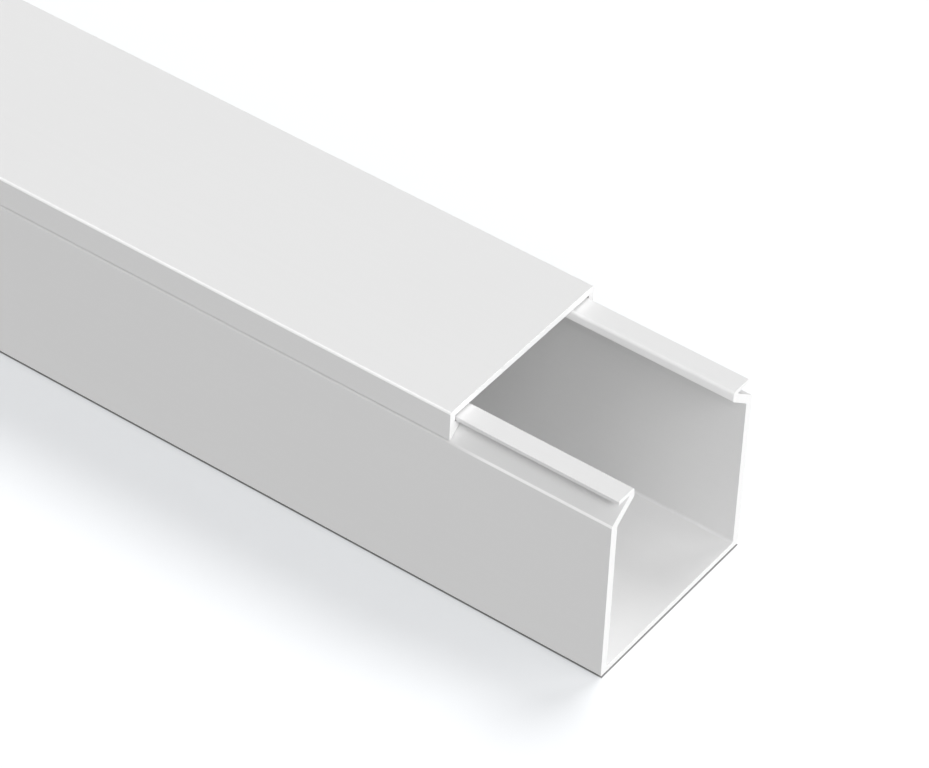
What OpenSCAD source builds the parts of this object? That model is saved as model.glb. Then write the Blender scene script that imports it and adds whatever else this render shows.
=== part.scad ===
// Square cable trunking in white rigid PVC: an open channel with a slide-and-snap lid.
// Two extrusions of one length lie along X, the underside of the base on Z = 0.
// The lid is slid back from the +X end, so that the duct and the snap rails show there.

/* [Stock] */
// Length of the base and of the lid
stock_len = 1000; // [300:10:3000]
// Outside width, over the two walls
outer_w = 60; // [40:1:120]
// Outside height, from the underside to the top of the lid
outer_h = 60; // [40:1:120]
// How far the lid is slid back from the open end
reveal = 48; // [0:1:200]

/* [Base] */
// Thickness of the floor
floor_t = 1.8; // [1.2:0.1:3.2]
// Thickness of the walls and of their leaning tops
wall_t = 2.4; // [1.2:0.1:3.2]
// Rounding of the two long edges under the floor
heel_r = 0.4; // [0.2:0.1:1]
// Rounding inside, where the floor meets the walls
floor_corner_r = 0.8; // [0.2:0.1:2]

/* [Snap rail] */
// Angle of the leaning wall top, up from the horizontal
lean_angle = 38; // [30:1:50]
// Thickness of the lip that folds back outward over the leaning wall top
lip_t = 1.3; // [1:0.1:2.6]
// Thickness of the fold between the leaning wall top and the lip
fold_t = 1.6; // [1.2:0.1:2.6]
// Rounding of the outside edge where the wall starts to lean
kink_r = 1.0; // [0.3:0.1:2]
// Rounding of the fold, on the side of the duct
fold_r = 1.0; // [0.3:0.1:1.4]

/* [Lid] */
// Thickness of the top plate
plate_t = 2.0; // [1.2:0.1:3]
// Thickness of the side flanges
flange_t = 2.0; // [1.2:0.1:3]
// How far the hook stands in from its flange, to catch under the lip
hook_reach = 2.2; // [1.4:0.1:3]
// Height of the hook at its nose
nose_h = 1.7; // [1.2:0.1:3]
// Height by which the foot of each flange is blunted
foot_blunt = 0.4; // [0.2:0.1:0.8]
// Rounding of the two long top edges
lid_edge_r = 0.7; // [0.4:0.1:1.8]

/* [Fit] */
// Gap between the lid's hooks and the rails, all round
slide_gap = 0.3; // [0.2:0.05:0.6]
// Gap between the top of the lips and the lid's plate
head_gap = 0.7; // [0.2:0.1:1.5]

/* [Hidden] */

// Largest turn of the outline at one point of a rounded corner, in degrees
arc_step = 12;

// The lid's hooks fill the notch between the lips and the leaning wall tops: heights from the top down
plate_under_z = outer_h - plate_t;
lip_top_z = plate_under_z - head_gap;
lip_under_z = lip_top_z - lip_t;
hook_top_z = lip_under_z - slide_gap;
nose_z = hook_top_z - nose_h;

// The hook's lower face runs down to the foot of the flange, along the leaning wall top.
// foot_z is where it would meet the flange's outer face if the foot weren't blunt.
nose_in = flange_t + hook_reach;
foot_z = nose_z - nose_in * tan(lean_angle);
kink_z = foot_z - slide_gap / cos(lean_angle);

// Distances in from the wall's outer face, for the lip's tip, its root and the fold
lip_tip_in = flange_t + slide_gap;
lip_root_in = (lip_under_z - kink_z) / tan(lean_angle);
fold_in = lip_root_in + fold_t;

// Height of the leaning top's lower face, at a distance in from the wall's outer face
function lean_under_z(inset) = kink_z + inset * tan(lean_angle) - wall_t / cos(lean_angle);

// Small roundings follow the thickness that they are on
lip_tip_r = lip_t / 6;
lip_root_r = lip_t / 6;
nose_r = nose_h / 4;
foot_r = flange_t / 20;
hook_root_r = flange_t / 8;

// Left half of the base's section, as [inset from the outer face, height, rounding]
base_half = [
    [0, 0, heel_r],
    [0, kink_z, kink_r],
    [lip_root_in, lip_under_z, lip_root_r],
    [lip_tip_in, lip_under_z, lip_tip_r],
    [lip_tip_in, lip_top_z, lip_tip_r],
    [fold_in, lip_top_z, fold_r],
    [fold_in, lean_under_z(fold_in), fold_r],
    [wall_t, lean_under_z(wall_t), kink_r],
    [wall_t, floor_t, floor_corner_r],
];

// Left half of the lid's section, in the same form
lid_half = [
    [0, outer_h, lid_edge_r],
    [0, foot_z + foot_blunt, foot_r],
    [foot_blunt / tan(lean_angle), foot_z + foot_blunt, foot_r],
    [nose_in, nose_z, nose_r],
    [nose_in, hook_top_z, nose_r],
    [flange_t, hook_top_z, hook_root_r],
    [flange_t, plate_under_z, hook_root_r],
];

// A half section set at the left wall, then its mirror image, as one closed run of corners
function both_halves(half) = concat(
    [for (corner = half) [corner[0] - outer_w / 2, corner[1], corner[2]]],
    [for (i = [len(half) - 1 : -1 : 0]) [outer_w / 2 - half[i][0], half[i][1], half[i][2]]]
);

function unit(v) = v / norm(v);
function flat(corner) = [corner[0], corner[1]];

// Points of the arc that rounds one corner, between the corners before and after it
function corner_arc(before, corner, after) =
    let (
        to_before = unit(flat(before) - flat(corner)),
        to_after = unit(flat(after) - flat(corner)),
        opening = acos(to_before * to_after),
        centre = flat(corner) + unit(to_before + to_after) * corner[2] / sin(opening / 2),
        first = flat(corner) + to_before * corner[2] / tan(opening / 2) - centre,
        side = sign(to_before[0] * to_after[1] - to_before[1] * to_after[0]),
        turn = -side * (180 - opening),
        steps = ceil(abs(turn) / arc_step),
        start = atan2(first[1], first[0])
    )
    [for (k = [0 : steps]) centre + corner[2] * [cos(start + turn * k / steps), sin(start + turn * k / steps)]];

// Outline through a closed run of corners, each with its own rounding
function rounded_outline(corners) = [
    let (count = len(corners))
    for (i = [0 : count - 1])
    each corner_arc(corners[(i + count - 1) % count], corners[i], corners[(i + 1) % count])
];

// One length of a section, extruded along X from its far end
module extruded_stock(half, far_end) {
    translate([far_end, 0, 0])
        rotate([90, 0, 90])
            linear_extrude(height = stock_len)
                polygon(rounded_outline(both_halves(half)));
}

module base() {
    color("whitesmoke")
        extruded_stock(base_half, -stock_len / 2);
}

module lid() {
    color("white")
        extruded_stock(lid_half, -stock_len / 2 - reveal);
}

base();
lid();
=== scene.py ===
from math import cos, pi, radians, sin

import bpy
from mathutils import Matrix, Vector


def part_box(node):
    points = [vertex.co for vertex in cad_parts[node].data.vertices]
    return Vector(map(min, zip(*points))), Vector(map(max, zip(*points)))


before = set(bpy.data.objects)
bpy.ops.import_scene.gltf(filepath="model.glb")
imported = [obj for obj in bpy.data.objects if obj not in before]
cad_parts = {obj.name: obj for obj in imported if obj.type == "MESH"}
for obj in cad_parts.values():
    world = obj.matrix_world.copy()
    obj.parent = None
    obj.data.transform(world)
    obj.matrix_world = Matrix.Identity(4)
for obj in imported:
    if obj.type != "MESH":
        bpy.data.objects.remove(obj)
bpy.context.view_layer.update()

# The base: an open channel of white rigid PVC, extruded in one piece and sawn square to length.
# The top of each wall leans in and folds back out as the lip that holds the lid.
# It is fixed to a wall by screws through its plain floor, or by glue under it.


class Socket:
    """An output socket of a node tree. Arithmetic on it adds Math nodes to the tree."""

    def __init__(self, tree, output=None):
        self.tree = tree
        self.output = output

    def node(self, kind, settings=None, inputs=None, output=0):
        """Adds a node of that kind, makes its settings, fills its inputs and gives one of its outputs."""
        made = self.tree.nodes.new(kind)
        for name, value in (settings or {}).items():
            setattr(made, name, value)
        for name, value in (inputs or {}).items():
            if isinstance(value, Socket):
                self.tree.links.new(value.output, made.inputs[name])
            else:
                made.inputs[name].default_value = value
        return Socket(self.tree, made.outputs[output] if made.outputs else None)

    def math(self, operation, *values):
        return self.node("ShaderNodeMath", {"operation": operation}, dict(enumerate(values)))

    def __add__(self, other):
        return self.math("ADD", self, other)

    __radd__ = __add__

    def __sub__(self, other):
        return self.math("SUBTRACT", self, other)

    def __rsub__(self, other):
        return self.math("SUBTRACT", other, self)

    def __mul__(self, other):
        return self.math("MULTIPLY", self, other)

    __rmul__ = __mul__

    def __abs__(self):
        return self.math("ABSOLUTE", self)

    def between(self, low, high):
        """0 up to low, 1 from high on, and a smooth step in between."""
        inputs = {"Value": self, "From Min": low, "From Max": high}
        return self.node("ShaderNodeMapRange", {"interpolation_type": "SMOOTHSTEP"}, inputs)

    def stretched(self, scale):
        """The vector with each of its axes scaled by itself."""
        inputs = {0: self, 1: scale}
        return self.node("ShaderNodeVectorMath", {"operation": "MULTIPLY"}, inputs, "Vector")

    def axis(self, name):
        """One axis of the vector."""
        return self.node("ShaderNodeSeparateXYZ", {}, {"Vector": self}, name)

    def noise(self, scale, detail):
        """Noise at this place, from -1 to 1."""
        inputs = {"Vector": self, "Scale": scale, "Detail": detail}
        return self.node("ShaderNodeTexNoise", {}, inputs, "Fac") * 2 - 1


SAME_POINT = 0.000001  # metres
SAME_PLANE = radians(0.2)
SAW_EASE = 0.00005  # metres taken off the sawn edges by hand
SAW_EASE_STEPS = 2
SAW_CORNER = radians(50)  # only the sawn edges turn this sharply
FLATS_WEIGHT = 100  # of 100: a flat face's own normal wins over the roundings beside it


def ease_sawn_edges(piece):
    """Joins the solid's faces into one skin, eases its sawn edges and shades its long edges round."""
    weld = piece.modifiers.new("one_skin", "WELD")
    weld.merge_threshold = SAME_POINT
    flats = piece.modifiers.new("whole_flats", "DECIMATE")
    flats.decimate_type = "DISSOLVE"
    flats.angle_limit = SAME_PLANE
    ease = piece.modifiers.new("eased_saw_cut", "BEVEL")
    ease.width = SAW_EASE
    ease.segments = SAW_EASE_STEPS
    ease.limit_method = "ANGLE"
    ease.angle_limit = SAW_CORNER
    ease.use_clamp_overlap = False
    skin = bpy.data.node_groups.new(piece.name + "_smooth_skin", "GeometryNodeTree")
    skin.interface.new_socket("Geometry", in_out="INPUT", socket_type="NodeSocketGeometry")
    skin.interface.new_socket("Geometry", in_out="OUTPUT", socket_type="NodeSocketGeometry")
    start = Socket(skin)
    solid = start.node("NodeGroupInput", output="Geometry")
    plain = start.node("GeometryNodeRemoveAttribute", {}, {"Geometry": solid, "Name": "custom_normal"})
    faces = start.node("GeometryNodeSetShadeSmooth", {}, {"Geometry": plain})
    edges = start.node("GeometryNodeSetShadeSmooth", {"domain": "EDGE"}, {"Geometry": faces})
    start.node("NodeGroupOutput", {}, {"Geometry": edges})
    smooth = piece.modifiers.new("smooth_skin", "NODES")
    smooth.node_group = skin
    normals = piece.modifiers.new("flat_faces_stay_flat", "WEIGHTED_NORMAL")
    normals.mode = "FACE_AREA"
    normals.weight = FLATS_WEIGHT


PVC_GREY = 0.735
PVC_IOR = 1.53
SAWN_FACING = (0.7, 0.95)  # how squarely a face looks along X, where the saw's chalk and the painted light of the sawn ends come in
HIGHLIGHT_WHITE = 0.24  # added to the grey where a painted highlight lies on a bend or an edge
SAWN_WHITE = 0.155  # added to the grey on a sawn face: saw chalk, and partly painted light that brings the lit ends to white
SAWN_ROUGH = 0.22  # added to the roughness there
DIE_LINES = (2, 700, 700)  # grains to the metre along X, Y and Z
FINE_LINES = (6, 3500, 3500)
SAW_MARKS = (0, 260, 2600)
CLOUDS = 18  # grains to the metre, alike in all directions
PEEL = 1400
CHALK = 5200
RELIEF = 0.000004  # metres of height to a unit of pattern


def white_pvc(name, satin, painted_highlight_mask):
    """White rigid PVC as it leaves the die: satin, with faint lines along X, chalky and painted paler
    where it is sawn.

    The last argument takes the normal and the place, and gives how strongly a painted highlight whitens
    the skin there.
    """
    material = bpy.data.materials.new(name)
    material.use_nodes = True
    tree = material.node_tree
    tree.nodes.clear()
    start = Socket(tree)
    place = start.node("ShaderNodeTexCoord", output="Object")
    normal = start.node("ShaderNodeNewGeometry", output="Normal")

    sawn = abs(normal.axis("X")).between(*SAWN_FACING)
    skin = 1 - sawn
    # How strongly a painted highlight whitens the skin here, on bends and edges.
    painted_highlight = skin * painted_highlight_mask(normal, place)
    die_lines = place.stretched(DIE_LINES).noise(1, 3)
    fine_lines = place.stretched(FINE_LINES).noise(1, 1)
    cloud = place.noise(CLOUDS, 3)
    peel = place.noise(PEEL, 2)
    saw_marks = place.stretched(SAW_MARKS).noise(1, 3)
    chalk = place.noise(CHALK, 2)

    tone = PVC_GREY + skin * (0.006 * die_lines + 0.006 * cloud)
    # Painted highlights: white added on the bends and edges that the mask picks.
    tone = tone + painted_highlight * (HIGHLIGHT_WHITE + 0.02 * cloud)
    # Sawn faces: saw chalk, and partly painted light that makes the lit ends white.
    tone = tone + sawn * (SAWN_WHITE + 0.012 * saw_marks + 0.012 * chalk)
    channels = {"Red": tone, "Green": tone, "Blue": tone}
    colour = start.node("ShaderNodeCombineColor", {}, channels, "Color")
    rough = satin + skin * (0.03 * die_lines + 0.04 * cloud + 0.02 * fine_lines)
    rough = rough + sawn * (SAWN_ROUGH + 0.08 * saw_marks)
    height = skin * (0.6 * die_lines + 0.25 * fine_lines + 0.35 * peel)
    height = height + sawn * (4 * saw_marks + 2 * chalk)
    relief = start.node("ShaderNodeBump", {}, {"Height": height, "Distance": RELIEF, "Strength": 1.0})
    surface = start.node("ShaderNodeBsdfPrincipled", {}, {
        "Base Color": colour,
        "Roughness": rough,
        "IOR": PVC_IOR,
        "Normal": relief,
    })
    start.node("ShaderNodeOutputMaterial", {}, {"Surface": surface})
    return material


BASE_SATIN = 0.36
RAIL_OUT = 0.025  # metres from the middle of the duct out to the middle of a rail
FACES_DUCT = (0.2, 0.8)  # how squarely a rail's face looks into the duct, where a fold's painted highlight comes in
FACES_OUT = (0.2, 0.6)  # and how squarely it looks outward, where a kink's painted highlight does
FOLD_HEIGHT = (0.0540, 0.0544)  # metres up from the underside, where the folds of the lips start
KINK_HEIGHT = (0.0490, 0.0500)  # and where the walls start to lean
KINK_STARTS = (0.03, 0.15)  # the normal's rise at the kink, as it leaves the upright wall
KINK_ENDS = (0.72, 0.78)  # and as it comes to the leaning top
KINK_HIGHLIGHT_FROM = -0.002  # metres out from the lid's end, where the painted highlight starts on the kinks
KINK_HIGHLIGHT_FULLY = 0.014  # and where it shows fully


def painted_bend_highlights(normal, place):
    """Painted highlights: on the folds' side towards the duct, and on the kinks from the lid's end on,
    where the lid doesn't shade them.
    """
    outward = normal.axis("Y") * place.axis("Y") * (1 / RAIL_OUT)
    height = place.axis("Z")
    up = normal.axis("Z")
    folds = (0 - outward).between(*FACES_DUCT) * height.between(*FOLD_HEIGHT)
    kinks = up.between(*KINK_STARTS) * (1 - up.between(*KINK_ENDS)) * outward.between(*FACES_OUT)
    kinks = kinks * height.between(*KINK_HEIGHT)
    lid_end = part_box("lid")[1].x
    # The kinks' painted highlight fades in from the lid's end, where the lid no longer shades them.
    return folds + kinks * place.axis("X").between(lid_end + KINK_HIGHLIGHT_FROM, lid_end + KINK_HIGHLIGHT_FULLY)


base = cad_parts["base"]
ease_sawn_edges(base)
base.material_slots[0].material = white_pvc("base_white_pvc", BASE_SATIN, painted_bend_highlights)

# The lid: a second extrusion of the same PVC, a flat plate with a hooked flange on each side.
# It is pressed or slid on, so that its hooks lie under the lips of the base.

LID_SATIN = 0.34
EDGE_HEIGHT = (0.0585, 0.0590)  # metres up from the base's underside, where the top's roundings start
EDGE_TURN = (0.05, 0.4)  # how far a rounding has turned, from 0 on a flat to 1 halfway round


def painted_edge_highlights(normal, place):
    """Painted highlights on the rounded long edges beside the top."""
    up = normal.axis("Z")
    # Painted highlight: the roundings of the top edges are made whiter than the grey.
    return (4 * up * (1 - up)).between(*EDGE_TURN) * place.axis("Z").between(*EDGE_HEIGHT)


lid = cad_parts["lid"]
ease_sawn_edges(lid)
lid.material_slots[0].material = white_pvc("lid_white_pvc", LID_SATIN, painted_edge_highlights)

# The floor: a wide sheet of plain white paper that takes the shadow.
# The camera sees it as matt white, and to all other rays it throws back one even light.
# Under the base and just past its ends it is painted darker: a painted shadow line where the two touch.

FLOOR_GAP = 0.0005  # metres: sawn stock touches a real floor only here and there
FLOOR_SIDE = 40.0
PAPER_WHITE = (0.917, 0.932, 0.95, 1)
CONTACT_SHADOW_GREY = (0.32, 0.32, 0.32, 1)
THROWN_BACK = 0.61
CLEAR_OF_ENDS = (0.0001, 0.0003)  # metres out from the base's ends, where the painted shadow turns to open paper
CLEAR_OF_WALLS = (-0.0002, 0)  # and out from its walls

bpy.ops.mesh.primitive_plane_add(size=FLOOR_SIDE, location=(0, 0, -FLOOR_GAP))
floor = bpy.context.object
floor.name = "floor"
paper = bpy.data.materials.new("white_paper")
paper.use_nodes = True
paper.node_tree.nodes.clear()
start = Socket(paper.node_tree)
seen = start.node("ShaderNodeLightPath", output="Is Camera Ray")
place = start.node("ShaderNodeTexCoord", output="Object")
base_low, base_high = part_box("base")
past_ends = (abs(place.axis("X")) - base_high.x).between(*CLEAR_OF_ENDS)
past_walls = (abs(place.axis("Y")) - base_high.y).between(*CLEAR_OF_WALLS)
clear = start.math("MAXIMUM", past_ends, past_walls)
thrown_back = start.node("ShaderNodeEmission", {}, {"Color": (1, 1, 1, 1), "Strength": THROWN_BACK})
shown = start.node("ShaderNodeBsdfDiffuse", {}, {"Color": PAPER_WHITE})
# Painted contact shadow: dark paper under the base.
painted_contact_shadow = start.node("ShaderNodeBsdfDiffuse", {}, {"Color": CONTACT_SHADOW_GREY})
open_floor = start.node("ShaderNodeMixShader", {}, {"Fac": seen, 1: thrown_back, 2: shown})
blend = start.node("ShaderNodeMixShader", {}, {"Fac": clear, 1: painted_contact_shadow, 2: open_floor})
start.node("ShaderNodeOutputMaterial", {}, {"Surface": blend})
floor.data.materials.append(paper)

# The lamps: five wide softboxes far off, at the levels that give each face its grey in the photograph.
# They stand in a white room, which the camera sees as pure white and gloss shows dimmer.

ROOM_GLOSS = 0.55  # how white gloss shows the room
ROOM_LIGHT = 0.08  # and the light that the room itself gives


def soft_lamp(name, towards, level, spread):
    """A far softbox: level is the white that it alone gives a face square to it, spread its degrees.

    Gloss doesn't show it, so that the satin top doesn't flare when it is seen from low down.
    """
    lamp = bpy.data.lights.new(name, "SUN")
    lamp.energy = level * pi
    lamp.angle = radians(spread)
    holder = bpy.data.objects.new(name, lamp)
    holder.visible_glossy = False
    holder.rotation_mode = "QUATERNION"
    holder.rotation_quaternion = Vector(towards).to_track_quat("Z", "Y")
    bpy.context.scene.collection.objects.link(holder)


soft_lamp("overhead_softbox", (-0.05, 0.47, 0.88), 0.43, 28)
soft_lamp("end_softbox", (0.75, -0.25, 0.61), 0.38, 25)
soft_lamp("far_end_softbox", (0.75, 0.25, 0.61), 0.33, 50)
soft_lamp("near_end_softbox", (0.60, -0.50, 0.62), 0.31, 50)
soft_lamp("side_softbox", (0.35, -0.93, 0.10), 0.23, 36)

world = bpy.data.worlds.new("white_room")
bpy.context.scene.world = world
world.use_nodes = True
world.node_tree.nodes.clear()
start = Socket(world.node_tree)
camera_ray = start.node("ShaderNodeLightPath", output="Is Camera Ray")
glossy_ray = start.node("ShaderNodeLightPath", output="Is Glossy Ray")
shown_room = start.math("MAXIMUM", camera_ray, ROOM_GLOSS * glossy_ray)
strength = start.math("MAXIMUM", shown_room, ROOM_LIGHT)
room = start.node("ShaderNodeBackground", {}, {"Color": (1, 1, 1, 1), "Strength": strength})
start.node("ShaderNodeOutputWorld", {}, {"Surface": room})

# The camera: a long lens that looks down on the open end, as the photograph does.
# It is set by the pixel at which the base's near bottom corner lies, and by how far off that corner is.

IMAGE_W, IMAGE_H = 929, 768
SENSOR_MM = 36.0
LENS_MM = 190.8
VIEW_AZIMUTH = radians(34.52)
VIEW_ELEVATION = radians(42.17)
VIEW_ROLL = radians(2.62)
CORNER_PIXEL = (600.77, 676.80)
CORNER_DEPTH = 1.2031  # metres
FARTHEST = 100  # metres that the camera sees

near_corner = Vector((base_high.x, base_low.y, 0))
back = Vector((
    sin(VIEW_AZIMUTH) * cos(VIEW_ELEVATION),
    -cos(VIEW_AZIMUTH) * cos(VIEW_ELEVATION),
    sin(VIEW_ELEVATION),
))
sideways = Vector((cos(VIEW_AZIMUTH), sin(VIEW_AZIMUTH), 0))
upright = back.cross(sideways)
right = cos(VIEW_ROLL) * sideways + sin(VIEW_ROLL) * upright
up = cos(VIEW_ROLL) * upright - sin(VIEW_ROLL) * sideways
metres_per_pixel = CORNER_DEPTH * SENSOR_MM / (LENS_MM * IMAGE_W)
across = (CORNER_PIXEL[0] - IMAGE_W / 2) * metres_per_pixel
down = (CORNER_PIXEL[1] - IMAGE_H / 2) * metres_per_pixel
camera = bpy.data.objects.new("camera", bpy.data.cameras.new("camera"))
camera.data.sensor_width = SENSOR_MM
camera.data.lens = LENS_MM
camera.data.clip_end = FARTHEST
camera.matrix_world = Matrix((right, up, back)).transposed().to_4x4()
camera.location = near_corner - right * across + up * down + back * CORNER_DEPTH
bpy.context.scene.collection.objects.link(camera)
bpy.context.scene.camera = camera
bpy.context.scene.view_settings.view_transform = "Standard"
